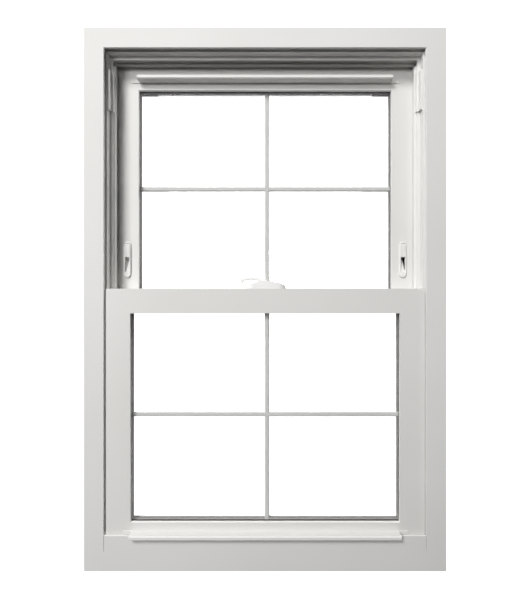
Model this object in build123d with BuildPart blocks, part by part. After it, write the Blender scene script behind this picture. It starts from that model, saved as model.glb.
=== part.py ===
from build123d import *
import os

# Double-hung sash window in extruded white profiles, with its frame, in millimetres.
# +Z is up and +Y points outdoors. The origin is the middle of the base of the sill.

# Main frame
frame_width = 609.6
frame_height = 914.4
frame_depth = 82.6
frame_wall = 2.0
cut_margin = 1.0

# Inside flange of the frame, its stepped edge and the accessory groove behind it
band_width = 33.2
band_step = 1.2
flange_width = 33.9
flange_thickness = 3.2
groove_width = 5.3
groove_depth = 3.6

# Sash tracks: the guide fin that runs in the side groove of each sash, and the ridge between the tracks
fin_height = 5.2
fin_thickness = 2.0
ridge_height = 3.8
stop_height = 11.8
ridge_gap = 0.65

# Sill: upstand on the room side, the track floor and the outward fall
dam_height = 60.5
dam_edge = 1.0
dam_joint = 0.8
sill_fall = 3.0
sill_floor = 37.0
weep_length = 20.0
weep_height = 5.0
weep_rise = 9.0
weep_spacing = 380.0

# Sashes
sash_thickness = 28.5
sash_face_width = 42.0
sash_wall = 2.0
inner_sash_set_back = 4.0
outer_sash_set_back = 41.0
sash_edge_gap = 0.4
sash_head_gap = 2.2
sash_seat_gap = 0.3
lip_thickness = 4.0
lip_height = 1.1
side_groove_width = 11.4
side_groove_depth = 9.5
side_groove_start = 14.9
fin_clearance = 0.4
lower_sash_height = 438.4
sash_overlap = 42.0

# Interlock of the two check rails
hook_reach = 4.5
hook_thickness = 4.5
hook_leg = 1.8
hook_leg_drop = 8.2
nose_reach = 7.8
nose_wall = 1.7
nose_fall = 5.0
nose_bottom = 9.0
interlock_clearance = 0.3
interlock_room = 0.5
interlock_end_gap = 1.0

# Sealed glass units and their beads
glass_leg = 5.0
glass_bite = 10.0
pane_thickness = 3.0
cavity = 9.0
pocket_clearance = 2.0
spacer_width = 8.0
spacer_inset = 1.0
bead_slope = 4.5
bead_edge = 1.5
bead_set_back = 1.5
bead_joint = 0.3

# Flat bars between the panes
bar_width = 8.0
bar_thickness = 5.0
bar_edge = 1.5
bar_shift = 3.4
lower_bar_rise = 2.3
upper_bar_rise = 4.8

# Lift rails
lift_inset = 44.5
lift_base_inset = 29.5
lift_projection = 14.3
lift_lip_height = 7.3
lift_lip_thickness = 3.0
lift_shelf_thickness = 2.6
lift_base_height = 5.0
lift_base_thickness = 1.2
lower_lift_height = 28.4
upper_lift_drop = 29.7

# Sash stops in the inner tracks
stop_drop = 63.1
stop_length = 68.0
stop_front = 10.0
stop_rise = 3.9
stop_cheek = 1.7
stop_wrap = 2.1
stop_fit = 0.1

# Balances: spring tubes on the jambs, rods and brackets on the sashes
tube_radius = 4.0
tube_bore = 2.6
tube_gap = 0.2
rod_radius = 2.2
plug_length = 2.0
tongue_length = 14.0
tongue_thickness = 3.0
rod_end_gap = 10.9
rod_bite = 12.0
balance_engagement = 40.0
groove_room = 0.5
bracket_height = 18.0
bracket_rise = 12.0
bracket_clearance = 3.5
balance_screw_radius = 1.9
balance_screw_head = 3.2
balance_screw_head_thickness = 1.2
hole_clearance = 0.05

# Cam lock, set a little to the right of the middle
lock_shift = 1.4
lock_length = 69.5
lock_depth = 27.0
lock_height = 13.2
lock_set_back = 5.5
lock_end_height = 5.0
lock_corner = 12.5
spindle_set_back = 24.0
spindle_radius = 4.0
spindle_clearance = 0.08
cam_height = 3.6
cam_rise = 3.8
cam_inner_radius = 13.6
cam_outer_radius = 17.1
cam_arm_start = 218.0
cam_arm_end = 234.0
cam_finger_end = 295.0
cam_hub_radius = 6.0
cam_room = 0.3
lever_length = 45.0
lever_width = 15.0
lever_tip_width = 9.0
lever_tip_length = 6.0
lever_gap = 0.3
lever_hub_thickness = 2.7
lever_arch_place = 24.0
lever_arch_bottom = 3.0
lever_arch_top = 7.2
lever_tip_top = 4.4
lever_tip_drop = 3.1
lever_tip_bottom = 1.2
lever_neck = 10.0
lock_screw_spacing = 48.0
lock_screw_radius = 2.0
lock_screw_head = 3.8
lock_screw_head_thickness = 2.0
lock_screw_seat = 6.5
lock_screw_bite = 6.0

# Keeper
keeper_length = 58.0
keeper_thickness = 2.5
keeper_wall = 2.1
keeper_wall_height = 11.0
keeper_wall_length = 11.0
keeper_clearance = 0.4
keeper_screw_spacing = 44.0
keeper_screw_radius = 1.6
keeper_screw_head = 3.0
keeper_screw_head_thickness = 0.9
keeper_screw_bite = 8.0

# Vent latches let into the stiles of the upper sash
latch_width = 12.4
latch_height = 64.2
latch_proud = 3.0
latch_body_width = 10.8
latch_body_height = 58.0
latch_body_depth = 10.0
latch_fit = 0.1
latch_inset = 22.5
latch_rise = 53.3
latch_edge = 0.8
latch_end_radius = 6.0
tab_width = 7.6
tab_length = 24.0
tab_front = 3.6
tab_axis_depth = 0.9
tab_top_gap = 3.7
tab_gap = 0.25
tab_room = 0.4
tab_pin_radius = 0.8
tab_pin_length = 11.0
recess_depth = 5.0
recess_height = 26.0
recess_floor = 7.0
recess_lip = 1.0

# Seal under the lower sash
seal_height = 2.0
seal_width = 8.0

# Fixing holes in the jambs
fixing_radius = 2.6
fixing_height = 100.0

# Derived positions
inside = -frame_depth / 2
lower_face = inside + inner_sash_set_back
upper_face = inside + outer_sash_set_back
sash_width = frame_width - 2 * (flange_width + sash_edge_gap)
track_wall = flange_width + lip_height
fin_edge = track_wall + fin_height
ridge_edge = track_wall + ridge_height
stop_edge = track_wall + stop_height
lower_base = sill_floor + sash_seat_gap
lower_top = lower_base + lower_sash_height
upper_top = frame_height - track_wall - sash_head_gap
upper_base = lower_top - sash_overlap
fin_start = side_groove_start + fin_clearance
glass_back = glass_leg + 2 * pane_thickness + cavity
pocket_floor = sash_face_width - glass_bite - pocket_clearance
groove_end = side_groove_start + side_groove_width
groove_floor = lip_height + side_groove_depth
lock_centre_y = lower_face + lock_set_back + lock_depth / 2
spindle_y = lower_face + spindle_set_back
latch_z = lower_top + latch_rise
latch_x = sash_width / 2 - latch_inset
stop_bottom = frame_height - stop_drop - stop_length
ledge_front = lower_face + sash_thickness + hook_reach + interlock_clearance + keeper_clearance
ledge_back = upper_face + glass_leg - keeper_clearance
ledge_middle = (ledge_front + ledge_back) / 2
lower_sash_travel = stop_bottom - lower_top - sash_edge_gap

os.makedirs("parts", exist_ok=True)


def save(piece, name):
    """Write one finished piece under its own name."""
    piece.label = name
    export_step(piece, f"parts/{name}.step")


def edge_plane(side, width, base, top, face):
    """Start of one member of a rectangular frame: local x runs inwards, y outdoors and z along it."""
    planes = {
        "left": Plane((-width / 2, face, base), x_dir=(1, 0, 0), z_dir=(0, 0, 1)),
        "right": Plane((width / 2, face, top), x_dir=(-1, 0, 0), z_dir=(0, 0, -1)),
        "top": Plane((-width / 2, face, top), x_dir=(0, 0, -1), z_dir=(1, 0, 0)),
        "bottom": Plane((width / 2, face, base), x_dir=(0, 0, 1), z_dir=(-1, 0, 0)),
    }
    return planes[side], width if side in ("top", "bottom") else top - base


def mitred_bar(section, side, width, base, top, face, joint=0.0):
    """One member of a rectangular frame, cut at 45 degrees at both ends."""
    start, length = edge_plane(side, width, base, top, face)
    inwards = start.x_dir
    along = start.z_dir
    with BuildPart() as member:
        with BuildSketch(start):
            add(section)
        extrude(amount=length)
        split(bisect_by=Plane(start.origin + along * joint / 2, z_dir=along - inwards))
        split(bisect_by=Plane(start.origin + along * (length - joint / 2), z_dir=-along - inwards))
    return member.part


def outline(points):
    """Closed face through the given corners."""
    with BuildSketch() as face:
        with BuildLine():
            Polyline(*points, close=True)
        make_face()
    return face.sketch


def hollow(solid_outline, chambers):
    """Profile section: an outline less its rectangular chambers, each given by its two corners."""
    with BuildSketch() as section:
        add(solid_outline)
        for (x0, y0), (x1, y1) in chambers:
            with Locations(((x0 + x1) / 2, (y0 + y1) / 2)):
                Rectangle(x1 - x0, y1 - y0, mode=Mode.SUBTRACT)
    return section.sketch


# Section of the head and jambs: x from the outer edge towards the opening, y from the room outdoors
lower_back = inner_sash_set_back + sash_thickness
upper_back = outer_sash_set_back + sash_thickness
lower_fin = inner_sash_set_back + fin_start
upper_fin = outer_sash_set_back + fin_start
ridge_front = lower_back + ridge_gap
ridge_back = outer_sash_set_back - ridge_gap
stop_start = upper_back + ridge_gap
groove_end_y = flange_thickness + groove_width
lip_room_end = outer_sash_set_back + lip_thickness + ridge_gap

jamb_outline = outline([
    (0, 0),
    (band_width, 0),
    (band_width, band_step),
    (flange_width, band_step),
    (flange_width, flange_thickness),
    (flange_width - groove_depth, flange_thickness),
    (flange_width - groove_depth, groove_end_y),
    (track_wall, groove_end_y),
    (track_wall, lower_fin),
    (fin_edge, lower_fin),
    (fin_edge, lower_fin + fin_thickness),
    (track_wall, lower_fin + fin_thickness),
    (track_wall, ridge_front),
    (ridge_edge, ridge_front),
    (ridge_edge, ridge_back),
    (flange_width, ridge_back),
    (flange_width, lip_room_end),
    (track_wall, lip_room_end),
    (track_wall, upper_fin),
    (fin_edge, upper_fin),
    (fin_edge, upper_fin + fin_thickness),
    (track_wall, upper_fin + fin_thickness),
    (track_wall, stop_start),
    (stop_edge, stop_start),
    (stop_edge, frame_depth),
    (0, frame_depth),
])

# Chambers of the frame: a front row beside the groove, then two rows split by a web
web_x = track_wall / 2
front_row_end = groove_end_y + frame_wall
middle_web = ridge_front + frame_wall
rear_web = lip_room_end + frame_wall
jamb_chambers = [
    ((frame_wall, frame_wall), (flange_width - groove_depth - frame_wall, front_row_end)),
    ((frame_wall, front_row_end + frame_wall), (web_x - frame_wall / 2, ridge_front)),
    ((web_x + frame_wall / 2, front_row_end + frame_wall), (track_wall - frame_wall, ridge_front)),
    ((frame_wall, middle_web), (web_x - frame_wall / 2, rear_web)),
    ((web_x + frame_wall / 2, middle_web), (flange_width - frame_wall, rear_web)),
    ((frame_wall, rear_web + frame_wall), (web_x - frame_wall / 2, frame_depth - frame_wall)),
    ((web_x + frame_wall / 2, rear_web + frame_wall), (track_wall - frame_wall, frame_depth - frame_wall)),
    ((track_wall, stop_start + frame_wall), (stop_edge - frame_wall, frame_depth - frame_wall)),
]
jamb_section = hollow(jamb_outline, jamb_chambers)

frame_size = (frame_width, 0, frame_height, inside)
tube_top = frame_height - track_wall - sash_seat_gap
balance_screw_z = tube_top - tongue_length / 2
tube_offset = tube_radius + tube_gap
tube_x = frame_width / 2 - track_wall - tube_offset
lower_tube_y = lower_face + groove_end - tube_radius - groove_room
upper_tube_y = upper_face + groove_end - tube_radius - groove_room

save(mitred_bar(jamb_section, "top", *frame_size), "frame_head")

# Each jamb has a fixing hole near its foot and its top in the outer track, and the two balance screw holes
fixing_y = inside + (rear_web + frame_wall + upper_fin) / 2
for side, hand in (("left", -1), ("right", 1)):
    with BuildPart() as jamb:
        add(mitred_bar(jamb_section, side, *frame_size))
        for height in (fixing_height, frame_height - fixing_height):
            with Locations(Plane((hand * frame_width / 2, fixing_y, height), z_dir=(hand, 0, 0))):
                Hole(fixing_radius, depth=track_wall + cut_margin)
        for y in (lower_tube_y, upper_tube_y):
            track_side = (hand * (frame_width / 2 - track_wall), y, balance_screw_z)
            with Locations(Plane(track_side, z_dir=(-hand, 0, 0))):
                Hole(balance_screw_radius + hole_clearance, depth=frame_wall * 2)
    save(jamb.part, f"frame_jamb_{side}")

# The sill has a taller front with the upstand, and its upper parts are coped to the jambs. A fine joint shows at
# each end of the upstand, and two weep slots open its outdoor wall.
sill_outline = outline([
    (0, 0),
    (dam_height - dam_edge, 0),
    (dam_height, dam_edge),
    (dam_height, flange_thickness - dam_edge),
    (dam_height - dam_edge, flange_thickness),
    (sill_floor, flange_thickness),
    (sill_floor, lower_fin),
    (fin_edge, lower_fin),
    (fin_edge, lower_fin + fin_thickness),
    (sill_floor, lower_fin + fin_thickness),
    (sill_floor, ridge_front),
    (ridge_edge, ridge_front),
    (ridge_edge, ridge_back),
    (track_wall + sill_fall, ridge_back),
    (track_wall, frame_depth),
    (0, frame_depth),
])
sill_top = track_wall - frame_wall
sill_chambers = [
    ((frame_wall, frame_wall), (web_x - frame_wall / 2, lower_fin)),
    ((web_x + frame_wall / 2, frame_wall), (sill_top, lower_fin)),
    ((frame_wall, lower_fin + frame_wall), (web_x - frame_wall / 2, rear_web)),
    ((web_x + frame_wall / 2, lower_fin + frame_wall), (sill_top, rear_web)),
    ((frame_wall, rear_web + frame_wall), (web_x - frame_wall / 2, frame_depth - frame_wall)),
    ((web_x + frame_wall / 2, rear_web + frame_wall), (sill_top, frame_depth - frame_wall)),
]
with BuildPart() as frame_sill:
    sill_start, sill_length = edge_plane("bottom", *frame_size)
    with BuildSketch(sill_start):
        add(hollow(sill_outline, sill_chambers))
    extrude(amount=sill_length)
    for side in ("left", "right"):
        add(mitred_bar(jamb_outline, side, *frame_size), mode=Mode.SUBTRACT)
    joint_reach = band_width + dam_joint
    for hand in (-1, 1):
        joint_x = hand * (frame_width - joint_reach) / 2
        with Locations((joint_x, inside + band_step / 2, (band_width + dam_height) / 2)):
            Box(joint_reach, band_step, dam_height - band_width, mode=Mode.SUBTRACT)
    with BuildSketch(Plane((0, -inside, weep_rise), x_dir=(-1, 0, 0), z_dir=(0, 1, 0))):
        with Locations((-weep_spacing / 2, 0), (weep_spacing / 2, 0)):
            Rectangle(weep_length, weep_height)
    extrude(amount=-frame_wall, mode=Mode.SUBTRACT)
save(frame_sill.part, "frame_sill")

# Sash stops: moulded clips on the guide fins of the inner tracks
stop_outline = outline([
    (track_wall + stop_fit, stop_front),
    (track_wall + stop_rise, stop_front),
    (track_wall + stop_rise, lower_fin - stop_cheek),
    (fin_edge + stop_wrap, lower_fin - stop_cheek),
    (fin_edge + stop_wrap, lower_fin + fin_thickness),
    (fin_edge + stop_fit, lower_fin + fin_thickness),
    (fin_edge + stop_fit, lower_fin - stop_fit),
    (track_wall + stop_fit, lower_fin - stop_fit),
])
for side, hand in (("left", -1), ("right", 1)):
    foot = Plane((hand * frame_width / 2, inside, stop_bottom), x_dir=(-hand, 0, 0), z_dir=(0, 0, -hand))
    with BuildPart() as sash_stop:
        with BuildSketch(foot):
            add(stop_outline)
        extrude(amount=-hand * stop_length)
    save(sash_stop.part, f"sash_stop_{side}")

# Section of the sash members: x from the outer edge towards the glass, y from the room face outdoors
sash_outline = outline([
    (0, 0),
    (sash_face_width, 0),
    (sash_face_width, glass_leg),
    (pocket_floor, glass_leg),
    (pocket_floor, sash_thickness),
    (lip_height, sash_thickness),
    (lip_height, groove_end),
    (groove_floor, groove_end),
    (groove_floor, side_groove_start),
    (lip_height, side_groove_start),
    (lip_height, lip_thickness),
    (0, lip_thickness),
])
sash_web = (lip_height + pocket_floor) / 2
chamber_back = side_groove_start - sash_wall
rear_chamber = ((groove_floor + sash_wall, side_groove_start), (pocket_floor - sash_wall, sash_thickness - sash_wall))
sash_chambers = [
    ((lip_height + sash_wall, sash_wall), (sash_web - sash_wall / 2, chamber_back)),
    ((sash_web + sash_wall / 2, sash_wall), (pocket_floor - sash_wall, chamber_back)),
    rear_chamber,
]
sash_section = hollow(sash_outline, sash_chambers)

# The check rails are closed at their outer edge and carry the two halves of the interlock
check_chambers = [
    ((sash_wall, sash_wall), (sash_web - sash_wall / 2, chamber_back)),
    ((sash_web + sash_wall / 2, sash_wall), (pocket_floor - sash_wall, chamber_back)),
    ((sash_wall, side_groove_start), (pocket_floor - sash_wall, sash_thickness - sash_wall)),
]
hook_back = sash_thickness + hook_reach
lower_check_outline = outline([
    (0, 0),
    (sash_face_width, 0),
    (sash_face_width, glass_leg),
    (pocket_floor, glass_leg),
    (pocket_floor, sash_thickness),
    (0, sash_thickness),
])
hook_outline = outline([
    (0, sash_thickness - sash_wall),
    (hook_thickness, sash_thickness - sash_wall),
    (hook_thickness, hook_back - hook_leg),
    (hook_thickness + hook_leg_drop, hook_back - hook_leg),
    (hook_thickness + hook_leg_drop, hook_back),
    (0, hook_back),
])
# Places of the hook, seen from the upper sash
hook_back_y = lower_face + hook_back - upper_face
leg_front_y = hook_back_y - hook_leg - interlock_clearance
nose_back_y = hook_back_y + interlock_clearance
nose_top = sash_face_width - hook_thickness - interlock_room
leg_room = nose_top - hook_leg_drop
nose_outline = outline([
    (nose_bottom, sash_wall),
    (nose_bottom, 0),
    (nose_bottom + nose_reach, -nose_reach),
    (nose_top, -nose_reach),
    (nose_top, leg_front_y),
    (leg_room, leg_front_y),
    (leg_room, nose_back_y),
    (sash_face_width, nose_back_y),
    (sash_face_width, sash_wall),
])
nose_chamber = [
    ((nose_bottom + nose_reach, -nose_reach + nose_wall), (leg_room - nose_wall, -nose_wall)),
]

side_room_x = sash_width / 2 - groove_floor
interlock_length = frame_width - 2 * (ridge_edge + interlock_end_gap)
sashes = {
    "lower": (sash_width, lower_base, lower_top, lower_face),
    "upper": (sash_width, upper_base, upper_top, upper_face),
}


def side_notches(face, base, top):
    """Room at both ends of a check rail for the guide fins, balances and track walls."""
    with BuildPart() as room:
        middle = (base + top) / 2
        height = top - base + 2 * cut_margin
        for hand in (-1, 1):
            groove_y = face + side_groove_start + side_groove_width / 2
            with Locations((hand * (side_room_x + sash_width / 4), groove_y, middle)):
                Box(sash_width / 2, side_groove_width, height)
            body_depth = sash_thickness + cut_margin - lip_thickness
            body_y = face + lip_thickness + body_depth / 2
            with Locations((hand * (sash_width / 2 - lip_height + sash_width / 4), body_y, middle)):
                Box(sash_width / 2, body_depth, height)
    return room.part


for name, size in sashes.items():
    width, base, top, face = size
    check_side = "top" if name == "lower" else "bottom"
    plain_side = "bottom" if name == "lower" else "top"
    for side in ("left", "right", plain_side):
        label = {"left": "stile_left", "right": "stile_right", "top": "top_rail", "bottom": "bottom_rail"}[side]
        with BuildPart() as member:
            add(mitred_bar(sash_section, side, *size))
            if name == "upper" and side != plain_side:
                hand = -1 if side == "left" else 1
                with Locations((hand * latch_x, face, latch_z)):
                    Box(latch_body_width + 2 * latch_fit, 2 * (sash_wall + latch_fit),
                        latch_body_height + 2 * latch_fit, mode=Mode.SUBTRACT)
        save(member.part, f"{name}_{label}")
    extra_outline = hook_outline if name == "lower" else hollow(nose_outline, nose_chamber)
    check_outline = hollow(lower_check_outline, check_chambers)
    start, length = edge_plane(check_side, *size)
    inset = (length - interlock_length) / 2
    with BuildPart() as check_rail:
        add(mitred_bar(check_outline, check_side, *size))
        with BuildSketch(start.offset(inset)):
            add(extra_outline)
        extrude(amount=interlock_length)
        for side in ("left", "right"):
            add(mitred_bar(sash_outline, side, *size), mode=Mode.SUBTRACT)
        add(side_notches(face, base, top), mode=Mode.SUBTRACT)
        if name == "lower":
            hole_y, spacing, radius, bite = lock_centre_y, lock_screw_spacing, lock_screw_radius, sash_wall
        else:
            hole_y, spacing, radius, bite = ledge_middle, keeper_screw_spacing, keeper_screw_radius, keeper_screw_bite
        with BuildSketch(Plane((lock_shift, hole_y, lower_top - bite))):
            with Locations((-spacing / 2, 0), (spacing / 2, 0)):
                Circle(radius + hole_clearance)
        extrude(amount=bite, mode=Mode.SUBTRACT)
    save(check_rail.part, f"{name}_check_rail")

# Sealed units: two panes on a spacer, with flat bars crossing in the cavity
for name, size in sashes.items():
    width, base, top, face = size
    glass_width = width - 2 * (sash_face_width - glass_bite)
    glass_height = top - base - 2 * (sash_face_width - glass_bite)
    centre_z = (base + top) / 2
    for label, depth in (("inner_pane", glass_leg), ("outer_pane", glass_leg + pane_thickness + cavity)):
        with BuildPart() as pane:
            with BuildSketch(Plane((0, face + depth, centre_z), x_dir=(1, 0, 0), z_dir=(0, 1, 0))):
                Rectangle(glass_width, glass_height)
            extrude(amount=pane_thickness)
        save(pane.part, f"{name}_{label}")
    inner_width = glass_width - 2 * (spacer_inset + spacer_width)
    inner_height = glass_height - 2 * (spacer_inset + spacer_width)
    cavity_start = Plane((0, face + glass_leg + pane_thickness, centre_z), x_dir=(1, 0, 0), z_dir=(0, 1, 0))
    with BuildPart() as spacer:
        with BuildSketch(cavity_start):
            Rectangle(inner_width + 2 * spacer_width, inner_height + 2 * spacer_width)
            Rectangle(inner_width, inner_height, mode=Mode.SUBTRACT)
        extrude(amount=cavity)
    save(spacer.part, f"{name}_spacer")
    rise = lower_bar_rise if name == "lower" else upper_bar_rise
    bar_start = cavity_start.offset((cavity - bar_thickness) / 2)
    with BuildPart() as bars:
        with BuildSketch(bar_start):
            with Locations((bar_shift, 0)):
                Rectangle(bar_width, inner_height)
            with Locations((0, -rise)):
                Rectangle(inner_width, bar_width)
        extrude(amount=bar_thickness)
        long_edges = bars.faces().filter_by(Axis.Y).edges()
        chamfer(long_edges.filter_by(lambda e: e.length > bar_width), length=bar_edge)
    save(bars.part, f"{name}_grille")

# Glazing beads: four sloped strips behind the glass of each sash
bead_outline = outline([
    (pocket_floor, glass_back),
    (sash_face_width - bead_set_back, glass_back),
    (sash_face_width - bead_set_back, glass_back + bead_edge),
    (sash_face_width - bead_set_back - bead_slope, sash_thickness),
    (pocket_floor, sash_thickness),
])
for name, size in sashes.items():
    strips = [mitred_bar(bead_outline, side, *size, joint=bead_joint) for side in ("left", "right", "top", "bottom")]
    save(Compound(children=strips), f"{name}_glazing_beads")

# Lift rails: a shelf with a turned lip on a thin base strip
lift_tip = -lift_projection
lift_outline = outline([
    (0, 0),
    (0, lift_tip + lift_lip_thickness / 2),
    (lift_lip_thickness / 2, lift_tip),
    (lift_lip_height - lift_lip_thickness / 2, lift_tip),
    (lift_lip_height, lift_tip + lift_lip_thickness / 2),
    (lift_lip_height, lift_tip + lift_lip_thickness),
    (lift_shelf_thickness, lift_tip + lift_lip_thickness),
    (lift_shelf_thickness, 0),
])
lift_base_outline = outline([
    (0, 0),
    (0, -lift_base_thickness),
    (lift_base_height, -lift_base_thickness),
    (lift_base_height, 0),
])
lifts = {
    "lower": (Plane((0, lower_face, lower_base + lower_lift_height), x_dir=(0, 0, -1), z_dir=(1, 0, 0))),
    "upper": (Plane((0, upper_face, upper_top - upper_lift_drop), x_dir=(0, 0, 1), z_dir=(-1, 0, 0))),
}
for name, middle in lifts.items():
    with BuildPart() as lift:
        with BuildSketch(middle):
            add(lift_outline)
        extrude(amount=sash_width / 2 - lift_inset, both=True)
        with BuildSketch(middle):
            add(lift_base_outline)
        extrude(amount=sash_width / 2 - lift_base_inset, both=True)
    save(lift.part, f"{name}_lift_rail")

# Seal in the groove under the lower sash, just clear of the sill floor
seal_y = lower_face + side_groove_start - sash_wall - seal_width / 2
with BuildPart() as sill_seal:
    with BuildSketch(Plane((0, seal_y, lower_base + lip_height), x_dir=(0, 1, 0), z_dir=(1, 0, 0))):
        with Locations((0, -lip_height / 2)):
            Rectangle(seal_width, lip_height)
    extrude(amount=sash_width / 2 - sash_face_width, both=True)
save(sill_seal.part, "sill_seal")

# Balances: a tube that hangs by a flat tongue from the jamb, and a rod and bracket that travel with the sash
tube_end = tube_top - tongue_length
tongue_x = frame_width / 2 - track_wall - tube_gap - tongue_thickness / 2
balances = {
    "lower": (lower_tube_y, lower_base, lower_sash_travel),
    "upper": (upper_tube_y, upper_base, 0.0),
}
bracket_inner = sash_width / 2 - groove_floor
bracket_outer = frame_width / 2 - track_wall - sash_edge_gap
for name, (y, base, rise) in balances.items():
    bracket_base = base + bracket_rise
    bracket_top = bracket_base + bracket_height
    rod_base = bracket_top - rod_bite
    tube_bottom = bracket_top + rise + bracket_clearance
    rod_top = tube_bottom + balance_engagement if name == "lower" else tube_end - plug_length - rod_end_gap
    for side, hand in (("left", -1), ("right", 1)):
        x = hand * tube_x
        with BuildPart() as tube:
            with BuildSketch(Plane((x, y, tube_bottom))):
                Circle(tube_radius)
            extrude(amount=tube_end - tube_bottom)
            with BuildSketch(Plane((x, y, tube_bottom))):
                Circle(tube_bore)
            extrude(amount=tube_end - tube_bottom - plug_length, mode=Mode.SUBTRACT)
            with Locations((hand * tongue_x, y, balance_screw_z)):
                Box(tongue_thickness, 2 * tube_radius, tongue_length)
            with Locations(Plane((hand * tongue_x, y, balance_screw_z), z_dir=(hand, 0, 0))):
                Hole(balance_screw_radius + hole_clearance)
        save(tube.part, f"{name}_balance_tube_{side}")
        with BuildPart() as rod:
            with BuildSketch(Plane((x, y, rod_base))):
                Circle(rod_radius)
            extrude(amount=rod_top - rod_base)
        save(rod.part, f"{name}_balance_rod_{side}")
        with BuildPart() as bracket:
            with Locations((hand * (bracket_inner + bracket_outer) / 2, y, (bracket_base + bracket_top) / 2)):
                Box(bracket_outer - bracket_inner, 2 * tube_radius, bracket_height)
            with BuildSketch(Plane((x, y, rod_base))):
                Circle(rod_radius + hole_clearance)
            extrude(amount=rod_bite, mode=Mode.SUBTRACT)
        save(bracket.part, f"{name}_balance_bracket_{side}")

with BuildPart() as balance_screws:
    for hand in (-1, 1):
        for y in (lower_tube_y, upper_tube_y):
            head_x = hand * (tongue_x - tongue_thickness / 2)
            with BuildSketch(Plane((head_x, y, balance_screw_z), z_dir=(hand, 0, 0))):
                Circle(balance_screw_radius)
            extrude(amount=tongue_thickness + tube_gap + frame_wall)
            with BuildSketch(Plane((head_x, y, balance_screw_z), z_dir=(-hand, 0, 0))):
                Circle(balance_screw_head)
            extrude(amount=balance_screw_head_thickness)
save(balance_screws.part, "balance_screws")

# Cam lock on top of the lower check rail: domed housing, lever with its cam, and two screws
lock_top = lower_top + lock_height
cam_z = lower_top + cam_rise
lock_half = lock_length / 2
lock_screw_places = [(lock_shift + hand * lock_screw_spacing / 2, lock_centre_y) for hand in (-1, 1)]
with BuildPart() as lock_base:
    with BuildSketch(Plane((lock_shift, lock_centre_y, lower_top))):
        RectangleRounded(lock_length, lock_depth, lock_corner)
    extrude(amount=lock_height)
    with BuildSketch(Plane((lock_shift, lock_centre_y, lower_top), x_dir=(1, 0, 0), z_dir=(0, -1, 0))):
        with BuildLine():
            ThreePointArc((-lock_half, lock_end_height), (0, lock_height), (lock_half, lock_end_height))
            Polyline(
                (lock_half, lock_end_height),
                (lock_half, 0),
                (-lock_half, 0),
                (-lock_half, lock_end_height),
            )
        make_face()
    extrude(amount=lock_depth, both=True, mode=Mode.INTERSECT)
    with BuildSketch(Plane((lock_shift, spindle_y, lower_top))):
        Circle(cam_outer_radius + cam_room)
    extrude(amount=cam_rise + cam_height + cam_room, mode=Mode.SUBTRACT)
    with BuildSketch(Plane((lock_shift, spindle_y, lower_top))):
        Circle(spindle_radius + spindle_clearance)
    extrude(amount=lock_height, mode=Mode.SUBTRACT)
    with BuildSketch(Plane((0, 0, lower_top))):
        with Locations(*lock_screw_places):
            Circle(lock_screw_radius + hole_clearance)
    extrude(amount=lock_height, mode=Mode.SUBTRACT)
    with BuildSketch(Plane((0, 0, lower_top + lock_screw_seat))):
        with Locations(*lock_screw_places):
            Circle(lock_screw_head + hole_clearance)
    extrude(amount=lock_height, mode=Mode.SUBTRACT)
save(lock_base.part, "lock_base")


def ring_sector(inner, outer, start, end):
    """Flat sector of a ring about the origin, from one angle to another in degrees."""
    with BuildSketch() as sector:
        with BuildLine():
            outer_arc = CenterArc((0, 0), outer, start, end - start)
            inner_arc = CenterArc((0, 0), inner, start, end - start)
            Line(outer_arc @ 0, inner_arc @ 0)
            Line(outer_arc @ 1, inner_arc @ 1)
        make_face()
    return sector.sketch


# The lever rises in a low arch from its hub and turns down at its tip
with BuildPart() as lock_lever:
    with BuildSketch(Plane((lock_shift, spindle_y, lock_top - lever_tip_drop))):
        Circle(lever_width / 2)
        with BuildLine():
            Polyline(
                (0, lever_width / 2),
                (-lever_length, lever_tip_width / 2),
                (-lever_length, -lever_tip_width / 2),
                (0, -lever_width / 2),
                close=True,
            )
        make_face()
    extrude(amount=lever_tip_drop + lever_arch_top + cut_margin)
    with BuildSketch(Plane((lock_shift, spindle_y, lock_top), x_dir=(1, 0, 0), z_dir=(0, -1, 0))):
        with BuildLine():
            hub_top = lever_gap + lever_hub_thickness
            tip_start = lever_tip_length - lever_length
            ThreePointArc((0, hub_top), (-lever_arch_place, lever_arch_top), (-lever_length, lever_tip_top))
            Polyline(
                (-lever_length, lever_tip_top),
                (-lever_length, -lever_tip_drop),
                (tip_start, -lever_tip_drop),
                (tip_start, lever_tip_bottom),
            )
            ThreePointArc((tip_start, lever_tip_bottom), (-lever_arch_place, lever_arch_bottom), (-lever_neck, lever_gap))
            Polyline(
                (-lever_neck, lever_gap),
                (lever_width / 2, lever_gap),
                (lever_width / 2, hub_top),
                (0, hub_top),
            )
        make_face()
    extrude(amount=lever_width, both=True, mode=Mode.INTERSECT)
    with BuildSketch(Plane((lock_shift, spindle_y, cam_z))):
        Circle(spindle_radius)
    extrude(amount=lock_top + lever_gap - cam_z)
    with BuildSketch(Plane((lock_shift, spindle_y, cam_z))):
        Circle(cam_hub_radius)
        add(ring_sector(spindle_radius, cam_outer_radius, cam_arm_start, cam_arm_end))
        add(ring_sector(cam_inner_radius, cam_outer_radius, cam_arm_start, cam_finger_end))
    extrude(amount=cam_height)
save(lock_lever.part, "lock_lever")

with BuildPart() as lock_screws:
    with BuildSketch(Plane((0, 0, lower_top - lock_screw_bite))):
        with Locations(*lock_screw_places):
            Circle(lock_screw_radius)
    extrude(amount=lock_screw_bite + lock_screw_seat)
    with BuildSketch(Plane((0, 0, lower_top + lock_screw_seat))):
        with Locations(*lock_screw_places):
            Circle(lock_screw_head)
    extrude(amount=lock_screw_head_thickness)
save(lock_screws.part, "lock_screws")

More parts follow.
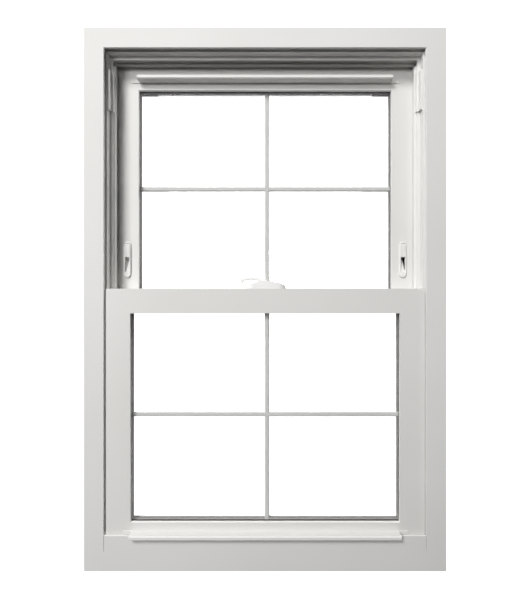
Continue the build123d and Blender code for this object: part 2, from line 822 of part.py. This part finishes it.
# Keeper on the ledge of the upper check rail, behind the interlock
keeper_screw_places = [(lock_shift + hand * keeper_screw_spacing / 2, ledge_middle) for hand in (-1, 1)]
with BuildPart() as lock_keeper:
    with Locations((lock_shift, ledge_middle, lower_top + keeper_thickness / 2)):
        Box(keeper_length, ledge_back - ledge_front, keeper_thickness)
    with Locations((lock_shift, ledge_front + keeper_wall / 2, lower_top + keeper_wall_height / 2)):
        Box(keeper_wall_length, keeper_wall, keeper_wall_height)
    with BuildSketch(Plane((0, 0, lower_top))):
        with Locations(*keeper_screw_places):
            Circle(keeper_screw_radius + hole_clearance)
    extrude(amount=keeper_thickness, mode=Mode.SUBTRACT)
save(lock_keeper.part, "lock_keeper")

with BuildPart() as keeper_screws:
    with BuildSketch(Plane((0, 0, lower_top - keeper_screw_bite))):
        with Locations(*keeper_screw_places):
            Circle(keeper_screw_radius)
    extrude(amount=keeper_screw_bite + keeper_thickness)
    with BuildSketch(Plane((0, 0, lower_top + keeper_thickness))):
        with Locations(*keeper_screw_places):
            Circle(keeper_screw_head)
    extrude(amount=keeper_screw_head_thickness)
save(keeper_screws.part, "keeper_screws")

# Vent latches: a housing in a slot of the stile, with a tab on a cross pin above a finger recess
tab_radius = tab_front - tab_axis_depth
tab_top = latch_z + latch_height / 2 - tab_top_gap
tab_bottom = tab_top - tab_length
tab_axis_z = tab_top - tab_radius
recess_bottom = tab_bottom - tab_room - recess_height
tab_back = tab_axis_depth - tab_radius
for side, hand in (("left", -1), ("right", 1)):
    x = hand * latch_x
    front = Plane((x, upper_face, latch_z), x_dir=(1, 0, 0), z_dir=(0, -1, 0))
    side_view = Plane((x, upper_face, 0), x_dir=(0, -1, 0), z_dir=(-1, 0, 0))
    pin_view = Plane((x, upper_face - tab_axis_depth, tab_axis_z), z_dir=(1, 0, 0))
    with BuildPart() as latch_housing:
        with BuildSketch(front):
            RectangleRounded(latch_width, latch_height, latch_end_radius)
        extrude(amount=latch_proud)
        chamfer(latch_housing.faces().sort_by(Axis.Y)[0].edges(), length=latch_edge)
        with BuildSketch(front):
            Rectangle(latch_body_width, latch_body_height)
        extrude(amount=-latch_body_depth)
        with BuildSketch(side_view):
            with BuildLine():
                Polyline(
                    (latch_proud + cut_margin, recess_bottom),
                    (recess_lip, recess_bottom),
                    (-recess_depth, tab_bottom - tab_room - recess_floor),
                    (-recess_depth, tab_bottom - tab_room),
                    (tab_back - tab_room, tab_bottom + 2 * tab_room),
                    (tab_back - tab_room, tab_top + tab_room),
                    (latch_proud + cut_margin, tab_top + tab_room),
                    close=True,
                )
            make_face()
        extrude(amount=tab_width / 2 + tab_gap, both=True, mode=Mode.SUBTRACT)
        with BuildSketch(pin_view):
            Circle(tab_pin_radius + hole_clearance)
        extrude(amount=tab_pin_length / 2 + tab_gap, both=True, mode=Mode.SUBTRACT)
    save(latch_housing.part, f"vent_latch_housing_{side}")
    with BuildPart() as latch_tab:
        with BuildSketch(side_view):
            with Locations((tab_axis_depth, tab_axis_z)):
                Circle(tab_radius)
            with Locations(((tab_front + tab_back) / 2, (tab_axis_z + tab_bottom) / 2)):
                Rectangle(tab_front - tab_back, tab_axis_z - tab_bottom)
        extrude(amount=tab_width / 2, both=True)
        with BuildSketch(pin_view):
            Circle(tab_pin_radius)
        extrude(amount=tab_pin_length / 2, both=True)
    save(latch_tab.part, f"vent_latch_tab_{side}")
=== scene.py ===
import bmesh
import bpy
import math
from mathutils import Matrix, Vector


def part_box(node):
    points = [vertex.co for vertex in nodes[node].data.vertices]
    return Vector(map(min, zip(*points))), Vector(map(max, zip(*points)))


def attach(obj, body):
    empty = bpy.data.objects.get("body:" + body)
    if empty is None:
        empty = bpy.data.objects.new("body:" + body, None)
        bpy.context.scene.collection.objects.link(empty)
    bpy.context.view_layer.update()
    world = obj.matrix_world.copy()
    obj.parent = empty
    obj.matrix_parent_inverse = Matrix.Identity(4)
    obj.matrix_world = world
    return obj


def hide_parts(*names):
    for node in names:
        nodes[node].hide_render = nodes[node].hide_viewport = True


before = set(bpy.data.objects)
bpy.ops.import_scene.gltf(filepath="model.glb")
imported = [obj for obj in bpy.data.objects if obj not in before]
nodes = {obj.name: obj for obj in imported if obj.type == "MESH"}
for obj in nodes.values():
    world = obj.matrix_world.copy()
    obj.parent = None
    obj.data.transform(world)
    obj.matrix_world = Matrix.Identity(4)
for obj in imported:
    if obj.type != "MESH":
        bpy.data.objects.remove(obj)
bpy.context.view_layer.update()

# Camera: it stands in the room, square to the window and level with half its height. The middle of the
# window lies a little beside the middle of the picture, so the framing has a small shift.
picture_width, picture_height = 508, 594
focal_px = 326.0
axis_px = (265.05, 299.5)
eye = (0.0, -0.5893, 0.4572)
level_gaze = math.radians(90)
film = 36.0
camera_data = bpy.data.cameras.new("camera")
camera_data.sensor_width = film
camera_data.lens = focal_px / picture_height * film
camera_data.shift_x = (picture_width / 2 - axis_px[0]) / picture_height
camera_data.shift_y = (axis_px[1] - picture_height / 2) / picture_height
camera = bpy.data.objects.new("camera", camera_data)
camera.location = eye
camera.rotation_euler = (level_gaze, 0, 0)
bpy.context.scene.collection.objects.link(camera)
bpy.context.scene.camera = camera


# Frame members: head, jambs and sill, hollow bars of white vinyl drawn through a die and welded at the mitres.
# The skin is satin, with hair-fine lines along the bar from the die, a faint stipple and a slow drift of tone.
vinyl_tone = (0.70, 0.695, 0.680)
vinyl_shade = (0.675, 0.669, 0.652)
vinyl_gloss = (0.38, 0.52)
vinyl_ior = 1.53
vinyl_specular = 0.35
upright_stretch = (9.0, 9.0, 0.35)
level_stretch = (0.35, 9.0, 9.0)

# Spots of noise are given as their size in metres and the detail in them, grain as spots to a metre, and
# relief as the depth of a bump in metres and its strength
line_spots = (0.016, 4.0)
line_relief = (0.0003, 0.06)
cloud_spots = (0.22, 2.0)
cloud_span = (0.35, 0.68)
speck_spots = (0.003, 3.0)
speck_span = (0.55, 0.80)
most_speck = 0.5
grain_detail = 2.0
vinyl_grain = 2400.0
vinyl_relief = (0.0001, 0.05)
noise_span = (0.3, 0.7)


def new_effect(name, takes, gives):
    """Empty shader node group with named inputs and outputs, given as name and kind of socket."""
    group = bpy.data.node_groups.new(name, "ShaderNodeTree")
    for label, kind in takes.items():
        group.interface.new_socket(name=label, in_out="INPUT", socket_type=f"NodeSocket{kind}")
    for label, kind in gives.items():
        group.interface.new_socket(name=label, in_out="OUTPUT", socket_type=f"NodeSocket{kind}")
    return group, group.nodes.new("NodeGroupInput"), group.nodes.new("NodeGroupOutput")


def feed(link, socket, value):
    """Link a socket to an output, or set it to a plain value."""
    if isinstance(value, bpy.types.NodeSocket):
        link.new(value, socket)
    else:
        socket.default_value = value


def spotted(tree, link, vector, spots):
    """Noise over the object, in spots of the given size and detail."""
    size, detail = spots
    noise = tree.new("ShaderNodeTexNoise")
    noise.inputs["Scale"].default_value = 1.0 / size
    noise.inputs["Detail"].default_value = detail
    link.new(vector, noise.inputs["Vector"])
    return noise.outputs["Fac"]


def ranged(tree, link, value, gives=(0.0, 1.0), reads=noise_span):
    """A value that lies within reads, spread over gives."""
    span = tree.new("ShaderNodeMapRange")
    span.inputs["From Min"].default_value, span.inputs["From Max"].default_value = reads
    span.inputs["To Min"].default_value, span.inputs["To Max"].default_value = gives
    link.new(value, span.inputs["Value"])
    return span.outputs["Result"]


def reckoned(tree, link, operation, first, second):
    """One step of arithmetic on masks or plain numbers."""
    step = tree.new("ShaderNodeMath")
    step.operation = operation
    feed(link, step.inputs[0], first)
    feed(link, step.inputs[1], second)
    return step.outputs["Value"]


def mixed(tree, link, kind, share, first, second):
    """Two colours or two numbers, mixed by a share."""
    blend = tree.new("ShaderNodeMix")
    blend.data_type = kind
    for label, value in (("Factor", share), ("A", first), ("B", second)):
        feed(link, blend.inputs[label], value)
    return blend.outputs["Result"]


# Draw lines: a mask of fine lines that run the way in which the bar was drawn
draw_lines, inlet, outlet = new_effect("draw_lines", {"Stretch": "Vector"}, {"Lines": "Float"})
tree, link = draw_lines.nodes, draw_lines.links
place = tree.new("ShaderNodeTexCoord")
along = tree.new("ShaderNodeMapping")
link.new(place.outputs["Object"], along.inputs["Vector"])
link.new(inlet.outputs["Stretch"], along.inputs["Scale"])
link.new(spotted(tree, link, along.outputs["Vector"], line_spots), outlet.inputs["Lines"])

# Stipple: the fine unevenness of a plastic or painted skin, as a height; Spots is how many lie in a metre
stipple, inlet, outlet = new_effect("stipple", {"Spots": "Float"}, {"Height": "Float"})
tree, link = stipple.nodes, stipple.links
place = tree.new("ShaderNodeTexCoord")
grain = tree.new("ShaderNodeTexNoise")
grain.inputs["Detail"].default_value = grain_detail
link.new(place.outputs["Object"], grain.inputs["Vector"])
link.new(inlet.outputs["Spots"], grain.inputs["Scale"])
link.new(grain.outputs["Fac"], outlet.inputs["Height"])

# Tone drift: one colour that goes over slowly into a slightly deeper one, with a little of it in fine specks
tone_drift, inlet, outlet = new_effect("tone_drift", {"Tone": "Color", "Shade": "Color"}, {"Colour": "Color"})
tree, link = tone_drift.nodes, tone_drift.links
place = tree.new("ShaderNodeTexCoord")
clouds = ranged(tree, link, spotted(tree, link, place.outputs["Object"], cloud_spots), reads=cloud_span)
specks = ranged(tree, link, spotted(tree, link, place.outputs["Object"], speck_spots),
                gives=(0.0, most_speck), reads=speck_span)
depth_of_tone = reckoned(tree, link, "MAXIMUM", clouds, specks)
colour = mixed(tree, link, "RGBA", depth_of_tone, inlet.outputs["Tone"], inlet.outputs["Shade"])
link.new(colour, outlet.inputs["Colour"])


def new_finish(name):
    """New material; returned with its nodes, its links and its Principled shader."""
    material = bpy.data.materials.new(name)
    material.use_nodes = True
    tree = material.node_tree
    return material, tree.nodes, tree.links, tree.nodes["Principled BSDF"]


def put_effect(tree, group, **values):
    """One shared effect placed in a material, with its own values."""
    node = tree.new("ShaderNodeGroup")
    node.node_tree = group
    for label, value in values.items():
        node.inputs[label].default_value = value
    return node


def toned(tree, tone, shade):
    """Colour of a skin that drifts from one tone to a deeper one."""
    return put_effect(tree, tone_drift, Tone=(*tone, 1), Shade=(*shade, 1)).outputs["Colour"]


def raised(tree, link, height, relief, under=None):
    """Bump from a height, over another bump if one is given."""
    bump = tree.new("ShaderNodeBump")
    bump.inputs["Distance"].default_value, bump.inputs["Strength"].default_value = relief
    link.new(height, bump.inputs["Height"])
    if under is not None:
        link.new(under, bump.inputs["Normal"])
    return bump.outputs["Normal"]


def drawn_vinyl(name, tone, shade, stretch):
    """White vinyl drawn along one direction."""
    material, tree, link, skin = new_finish(name)
    link.new(toned(tree, tone, shade), skin.inputs["Base Color"])
    lines = put_effect(tree, draw_lines, Stretch=stretch).outputs["Lines"]
    link.new(ranged(tree, link, lines, vinyl_gloss), skin.inputs["Roughness"])
    grain = put_effect(tree, stipple, Spots=vinyl_grain).outputs["Height"]
    fine = raised(tree, link, grain, vinyl_relief)
    link.new(raised(tree, link, lines, line_relief, under=fine), skin.inputs["Normal"])
    skin.inputs["IOR"].default_value = vinyl_ior
    skin.inputs["Specular IOR Level"].default_value = vinyl_specular
    return material


def dress(material, *names):
    """Give a finish to CAD nodes."""
    for name in names:
        for slot in nodes[name].material_slots:
            slot.material = material


frame_upright = drawn_vinyl("frame_upright", vinyl_tone, vinyl_shade, upright_stretch)
frame_level = drawn_vinyl("frame_level", vinyl_tone, vinyl_shade, level_stretch)
dress(frame_upright, "frame_jamb_left", "frame_jamb_right")
dress(frame_level, "frame_head", "frame_sill")


# Sash members: stiles, rails and check rails of both sashes, of the same vinyl as the frame, welded at the
# corners. The glazing beads are thin strips of the same stock that snap in behind the glass.
sash_tone = (0.695, 0.69, 0.673)
sash_shade = (0.673, 0.666, 0.647)
sash_upright = drawn_vinyl("sash_upright", sash_tone, sash_shade, upright_stretch)
sash_level = drawn_vinyl("sash_level", sash_tone, sash_shade, level_stretch)
for sash in ("lower", "upper"):
    dress(sash_upright, f"{sash}_stile_left", f"{sash}_stile_right")
    dress(sash_level, f"{sash}_check_rail", f"{sash}_glazing_beads")
dress(sash_level, "lower_bottom_rail", "upper_top_rail")


# Panes: four sheets of clear float glass, two to a sealed unit. Light goes straight through most of each
# sheet and casts no shadow of it; the rest is real glass, more of it at a slant, and only where a ray goes in,
# so that none is trapped in the sheet.
glass_tone = (0.985, 0.996, 0.992)
glass_ior = 1.45
least_glass = 0.03
slant_blend = 0.12
film_marks = 14.0
film_gloss = (0.0, 0.02)
glass, tree, link, skin = new_finish("float_glass")
skin.inputs["Base Color"].default_value = (*glass_tone, 1)
skin.inputs["Transmission Weight"].default_value = 1.0
skin.inputs["IOR"].default_value = glass_ior
marks = put_effect(tree, stipple, Spots=film_marks).outputs["Height"]
link.new(ranged(tree, link, marks, film_gloss), skin.inputs["Roughness"])
slant = tree.new("ShaderNodeLayerWeight")
slant.inputs["Blend"].default_value = slant_blend
slanted_glass = ranged(tree, link, slant.outputs["Fresnel"], gives=(least_glass, 1.0), reads=(0.0, 1.0))
sheet_side = tree.new("ShaderNodeNewGeometry")
going_in = reckoned(tree, link, "SUBTRACT", 1.0, sheet_side.outputs["Backfacing"])
link.new(reckoned(tree, link, "MULTIPLY", slanted_glass, going_in), skin.inputs["Alpha"])
for pane in ("upper_inner_pane", "upper_outer_pane", "lower_inner_pane", "lower_outer_pane"):
    dress(glass, pane)
    nodes[pane].visible_shadow = False


# Spacers: a strip of steel folded into a frame between the panes. A band of near-black butyl seals it to each
# pane, so that from the room its edge shows as a dull metal line between two dark ones.
steel_tone = (0.36, 0.34, 0.335)
steel_shade = (0.30, 0.285, 0.285)
steel_metallic = 0.35
butyl_tone = (0.022, 0.021, 0.021)
butyl_share = 0.2
spacer_grain = 900.0
spacer_gloss = (0.45, 0.6)
spacer_relief = (0.0002, 0.2)
for sash in ("lower", "upper"):
    spacer, tree, link, skin = new_finish(f"{sash}_spacer_edge")
    place = tree.new("ShaderNodeTexCoord")
    axes = tree.new("ShaderNodeSeparateXYZ")
    link.new(place.outputs["Object"], axes.inputs["Vector"])
    room_side_to_outdoors = [corner.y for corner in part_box(f"{sash}_spacer")]
    band = tree.new("ShaderNodeValToRGB")
    band.color_ramp.interpolation = "CONSTANT"
    band.color_ramp.elements[0].color = (0, 0, 0, 1)
    band.color_ramp.elements[1].position = 1 - butyl_share
    band.color_ramp.elements[1].color = (0, 0, 0, 1)
    band.color_ramp.elements.new(butyl_share).color = (1, 1, 1, 1)
    link.new(ranged(tree, link, axes.outputs["Y"], reads=room_side_to_outdoors), band.inputs["Fac"])
    steel = band.outputs["Color"]
    colour = mixed(tree, link, "RGBA", steel, (*butyl_tone, 1), toned(tree, steel_tone, steel_shade))
    link.new(colour, skin.inputs["Base Color"])
    link.new(reckoned(tree, link, "MULTIPLY", steel, steel_metallic), skin.inputs["Metallic"])
    grain = put_effect(tree, stipple, Spots=spacer_grain).outputs["Height"]
    link.new(ranged(tree, link, grain, spacer_gloss), skin.inputs["Roughness"])
    link.new(raised(tree, link, grain, spacer_relief), skin.inputs["Normal"])
    dress(spacer, f"{sash}_spacer")


# Bars between the panes: flat aluminium bars with bevelled edges, painted white and crossed at a halving joint.
# They lie in the sealed cavity, so their paint stays clean. Their colour is a mid grey rather than white, which
# is painted shade for the dim look of the bars in the cavity.
# The grey tone and its deeper drift below are painted shade: the real bars are white paint.
bar_grey_painted_shade = (0.50, 0.503, 0.492)
bar_deeper_grey_painted_shade = (0.47, 0.473, 0.462)
paint_grain = 1500.0
paint_gloss = (0.34, 0.46)
paint_relief = (0.0001, 0.08)


def grained(name, tone, shade, spots, gloss, relief, **sockets):
    """Skin with a fine grain that lifts it and varies its gloss; sockets are plain values of the shader."""
    material, tree, link, skin = new_finish(name)
    link.new(toned(tree, tone, shade), skin.inputs["Base Color"])
    grain = put_effect(tree, stipple, Spots=spots).outputs["Height"]
    link.new(ranged(tree, link, grain, gloss), skin.inputs["Roughness"])
    link.new(raised(tree, link, grain, relief), skin.inputs["Normal"])
    for label, value in sockets.items():
        skin.inputs[label].default_value = value
    return material


bar_finish_painted_shade = grained("painted_bar", bar_grey_painted_shade, bar_deeper_grey_painted_shade, paint_grain, paint_gloss, paint_relief)
dress(bar_finish_painted_shade, "upper_grille", "lower_grille")


# Lift rails: drawn strips of vinyl along the bottom rail and the top rail, with a shelf and a turned lip for
# the fingers. They are a little whiter than the sashes.
lift_tone = (0.74, 0.735, 0.72)
lift_shade = (0.715, 0.71, 0.69)
lift_vinyl = drawn_vinyl("lift_rail_vinyl", lift_tone, lift_shade, level_stretch)
dress(lift_vinyl, "upper_lift_rail", "lower_lift_rail")


# Sash stops: short moulded clips of white nylon, pushed onto the guide fins at the top of the inner tracks.
# They are smoother than the drawn bars, with a fine mould grain.
nylon_tone = (0.72, 0.712, 0.697)
nylon_shade = (0.70, 0.692, 0.675)
nylon_grain = 1800.0
stop_gloss = (0.37, 0.47)
moulded_relief = (0.0001, 0.07)
moulded_ior = 1.53
stop_nylon = grained("stop_nylon", nylon_tone, nylon_shade, nylon_grain, stop_gloss, moulded_relief,
                     IOR=moulded_ior)
dress(stop_nylon, "sash_stop_left", "sash_stop_right")


# Vent latches: a nylon housing let into each stile of the upper sash, with a tab on a cross pin above a finger
# recess. Both are moulded, with soft edges, and a touch whiter than the stile.
latch_tone = (0.75, 0.745, 0.73)
latch_shade = (0.73, 0.725, 0.707)
latch_grain = 2200.0
latch_gloss = (0.33, 0.43)
latch_edge = 0.0005
edge_steps = 3
sharp_edge = math.radians(35)
flat_edge = math.radians(1)
weld_distance = 1e-6


def rounded(name, body, edge, finish):
    """Copy of a CAD node with its sharp edges rounded, which stands for the node."""
    mesh = nodes[name].data.copy()
    work = bmesh.new()
    work.from_mesh(mesh)
    bmesh.ops.remove_doubles(work, verts=work.verts, dist=weld_distance)
    bmesh.ops.dissolve_limit(work, angle_limit=flat_edge, verts=work.verts, edges=work.edges)
    work.to_mesh(mesh)
    work.free()
    mesh.materials.clear()
    mesh.materials.append(finish)
    piece = bpy.data.objects.new(f"{name}_rounded", mesh)
    bpy.context.scene.collection.objects.link(piece)
    soft = piece.modifiers.new("soft edges", "BEVEL")
    soft.width = edge
    soft.segments = edge_steps
    soft.limit_method = "ANGLE"
    soft.angle_limit = sharp_edge
    soft.harden_normals = True
    for polygon in mesh.polygons:
        polygon.use_smooth = True
    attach(piece, body)
    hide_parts(name)


latch_nylon = grained("latch_nylon", latch_tone, latch_shade, latch_grain, latch_gloss, moulded_relief,
                      IOR=moulded_ior)
for side in ("left", "right"):
    rounded(f"vent_latch_housing_{side}", "upper_sash", latch_edge, latch_nylon)
    rounded(f"vent_latch_tab_{side}", f"vent_tab_{side}", latch_edge, latch_nylon)


# Cam lock and keeper: zinc castings under a white powder coat, which shows as a soft orange peel. The keeper is
# screwed to the ledge of the upper check rail, and the lever turns the cam under the housing into it.
coat_tone = (0.77, 0.765, 0.755)
coat_shade = (0.75, 0.745, 0.73)
coat_grain = 700.0
coat_gloss = (0.31, 0.41)
casting_edge = 0.0007
keeper_edge = 0.00035
powder_coat = grained("powder_coat", coat_tone, coat_shade, coat_grain, coat_gloss, moulded_relief,
                      IOR=moulded_ior)
rounded("lock_base", "lower_sash", casting_edge, powder_coat)
rounded("lock_lever", "lock_lever", casting_edge, powder_coat)
rounded("lock_keeper", "upper_sash", keeper_edge, powder_coat)


# Balances: vinyl tubes hung in the side tracks, with steel rods that run up into them from nylon brackets on
# the sashes. Rods and all screws are zinc plated, bright but clouded.
tube_tone = (0.69, 0.685, 0.67)
tube_shade = (0.67, 0.663, 0.645)
bracket_gloss = (0.40, 0.50)
zinc_tone = (0.60, 0.61, 0.62)
zinc_shade = (0.50, 0.51, 0.52)
zinc_grain = 600.0
zinc_gloss = (0.28, 0.42)
zinc_relief = (0.0001, 0.1)
tube_vinyl = drawn_vinyl("balance_tube_vinyl", tube_tone, tube_shade, upright_stretch)
bracket_nylon = grained("bracket_nylon", nylon_tone, nylon_shade, nylon_grain, bracket_gloss, moulded_relief,
                        IOR=moulded_ior)
zinc = grained("zinc_plate", zinc_tone, zinc_shade, zinc_grain, zinc_gloss, zinc_relief, Metallic=1.0)
for sash in ("lower", "upper"):
    for side in ("left", "right"):
        dress(tube_vinyl, f"{sash}_balance_tube_{side}")
        dress(bracket_nylon, f"{sash}_balance_bracket_{side}")
        dress(zinc, f"{sash}_balance_rod_{side}")
dress(zinc, "balance_screws", "lock_screws", "keeper_screws")


# Seal: a strip of black foam rubber in the groove under the lower sash, which closes on the floor of the sill.
# Its skin is dull and open-pored.
rubber_tone = (0.025, 0.025, 0.026)
rubber_shade = (0.04, 0.04, 0.04)
rubber_grain = 1200.0
rubber_gloss = (0.7, 0.85)
rubber_relief = (0.0003, 0.4)
rubber = grained("foam_rubber", rubber_tone, rubber_shade, rubber_grain, rubber_gloss, rubber_relief)
dress(rubber, "sill_seal")


# Floor: a wide pale sheet under the window, lit from within so that it reads as the white of the surround.
# It throws no light of its own on the window.
floor_tone = (0.86, 0.86, 0.86)
floor_shade = (0.84, 0.84, 0.84)
floor_rough = 0.9
floor_glow = 1.3
floor_reach = 6.0
corners = [(-floor_reach, -floor_reach, 0), (floor_reach, -floor_reach, 0),
           (floor_reach, floor_reach, 0), (-floor_reach, floor_reach, 0)]
floor_mesh = bpy.data.meshes.new("floor")
floor_mesh.from_pydata(corners, [], [(0, 1, 2, 3)])
floor = bpy.data.objects.new("floor", floor_mesh)
bpy.context.scene.collection.objects.link(floor)
pale, tree, link, skin = new_finish("floor_pale")
link.new(toned(tree, floor_tone, floor_shade), skin.inputs["Base Color"])
skin.inputs["Roughness"].default_value = floor_rough
skin.inputs["Emission Color"].default_value = (1, 1, 1, 1)
skin.inputs["Emission Strength"].default_value = floor_glow
floor_mesh.materials.append(pale)
floor.visible_diffuse = False
floor.visible_glossy = False


# Surround: white where the camera sees it, also through the panes, and a weak even light on everything else.
seen_strength = 1.4
lit_strength = 0.012
world = bpy.data.worlds.new("surround")
bpy.context.scene.world = world
world.use_nodes = True
tree, link = world.node_tree.nodes, world.node_tree.links
ray = tree.new("ShaderNodeLightPath")
seen = reckoned(tree, link, "MAXIMUM", ray.outputs["Is Camera Ray"], ray.outputs["Is Transmission Ray"])
strength = mixed(tree, link, "FLOAT", seen, lit_strength, seen_strength)
link.new(strength, tree["Background"].inputs["Strength"])
tree["Background"].inputs["Color"].default_value = (1, 1, 1, 1)


# Lights: soft boxes in the room, the key high on the left, a weaker one lower down on that side for the tracks
# and a small one near the middle. Three more, outdoors and at the flanks, light what the room doesn't see.
def soft_box(name, place, size, power):
    """Area light, in metres and watts, that looks at the window and isn't mirrored in its panes."""
    data = bpy.data.lights.new(name, "AREA")
    data.shape = "RECTANGLE"
    data.size, data.size_y = size
    data.energy = power
    lamp = bpy.data.objects.new(name, data)
    lamp.location = place
    lamp.rotation_euler = (Vector((0, 0, eye[2])) - Vector(place)).to_track_quat("-Z", "Y").to_euler()
    lamp.visible_glossy = False
    bpy.context.scene.collection.objects.link(lamp)


soft_box("key", place=(-1.35, -2.5, 2.95), size=(1.3, 1.0), power=124.0)
soft_box("side", place=(-1.6, -2.5, 1.3), size=(0.8, 0.8), power=40.0)
soft_box("front", place=(-0.2, -2.5, 1.6), size=(0.8, 0.8), power=8.0)
soft_box("outdoors", place=(0.0, 3.2, 1.3), size=(1.6, 1.6), power=78.0)
soft_box("right_flank", place=(3.2, 0.9, 1.4), size=(1.2, 1.2), power=48.0)
soft_box("left_flank", place=(-3.2, 0.9, 1.4), size=(1.2, 1.2), power=26.0)
bpy.context.scene.view_settings.view_transform = "Standard"
